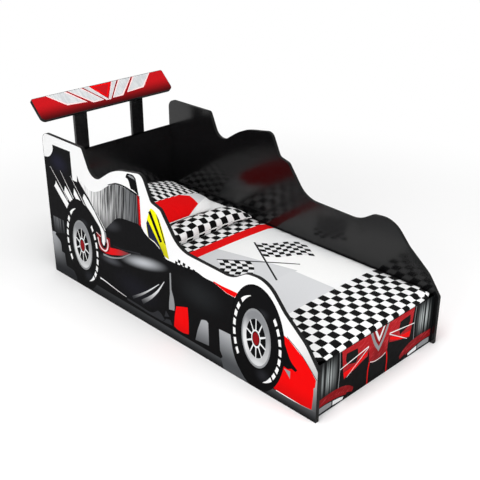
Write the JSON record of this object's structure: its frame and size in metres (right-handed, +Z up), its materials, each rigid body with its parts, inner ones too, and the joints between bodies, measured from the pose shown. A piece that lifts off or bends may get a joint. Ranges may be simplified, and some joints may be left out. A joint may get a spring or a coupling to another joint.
{
  "type": "racing car bed",
  "caption": "Child's bed shaped like a racing car: flat printed side panels, headboard, tilted rear wing on posts, low front panel, slatted base, mattress, quilt and pillows.",
  "frame": {"origin": "on the floor, under the middle of the whole bed with its wing", "axes": "+X towards the nose (foot end) of the car, +Y towards the left side of the car, +Z up"},
  "size_m": [1.6738, 0.732, 0.8046],
  "materials": {
    "printed_board": "printed film on fibreboard, semi-gloss",
    "dark_board": "black laminate, semi-gloss",
    "pine": "planed, bare",
    "beech": "turned, bare",
    "zinc_steel": "zinc plated",
    "ticking": "woven cover",
    "quilt_print": "printed microfibre",
    "pillow_print": "printed microfibre"
  },
  "bodies": {
    "bed": {"side_panel_left": "printed_board", "side_panel_right": "printed_board", "headboard": "dark_board", "front_panel": "printed_board", "wing_post_left": "dark_board", "wing_post_right": "dark_board", "wing_board": "printed_board", "wing_bracket_left": "zinc_steel", "wing_bracket_right": "zinc_steel", "side_rail_left": "pine", "side_rail_right": "pine", "slat_01": "pine", "slat_02": "pine", "slat_03": "pine", "slat_04": "pine", "slat_05": "pine", "slat_06": "pine", "slat_07": "pine", "slat_08": "pine", "slat_09": "pine", "slat_10": "pine", "slat_11": "pine", "slat_12": "pine", "cam_bolts": "zinc_steel", "cam_drums": "zinc_steel", "dowels": "beech", "post_screws": "zinc_steel", "rail_screws": "zinc_steel", "slat_screws": "zinc_steel", "bracket_screws": "zinc_steel"},
    "mattress": {"mattress": "ticking"},
    "quilt": {"quilt": "quilt_print"},
    "head_pillow": {"head_pillow": "pillow_print"},
    "front_pillow": {"front_pillow": "pillow_print"}
  },
  "joints": [
    {"name": "mattress_lift", "type": "slide", "parent": "bed", "child": "mattress", "axis": [0, 0, 1], "range_m": [0, 0.6]},
    {"name": "quilt_lift", "type": "slide", "parent": "mattress", "child": "quilt", "axis": [0, 0, 1], "range_m": [0, 0.3]},
    {"name": "head_pillow_lift", "type": "slide", "parent": "quilt", "child": "head_pillow", "axis": [0, 0, 1], "range_m": [0, 0.3]},
    {"name": "front_pillow_lift", "type": "slide", "parent": "quilt", "child": "front_pillow", "axis": [0, 0, 1], "range_m": [0, 0.3]}
  ]
}
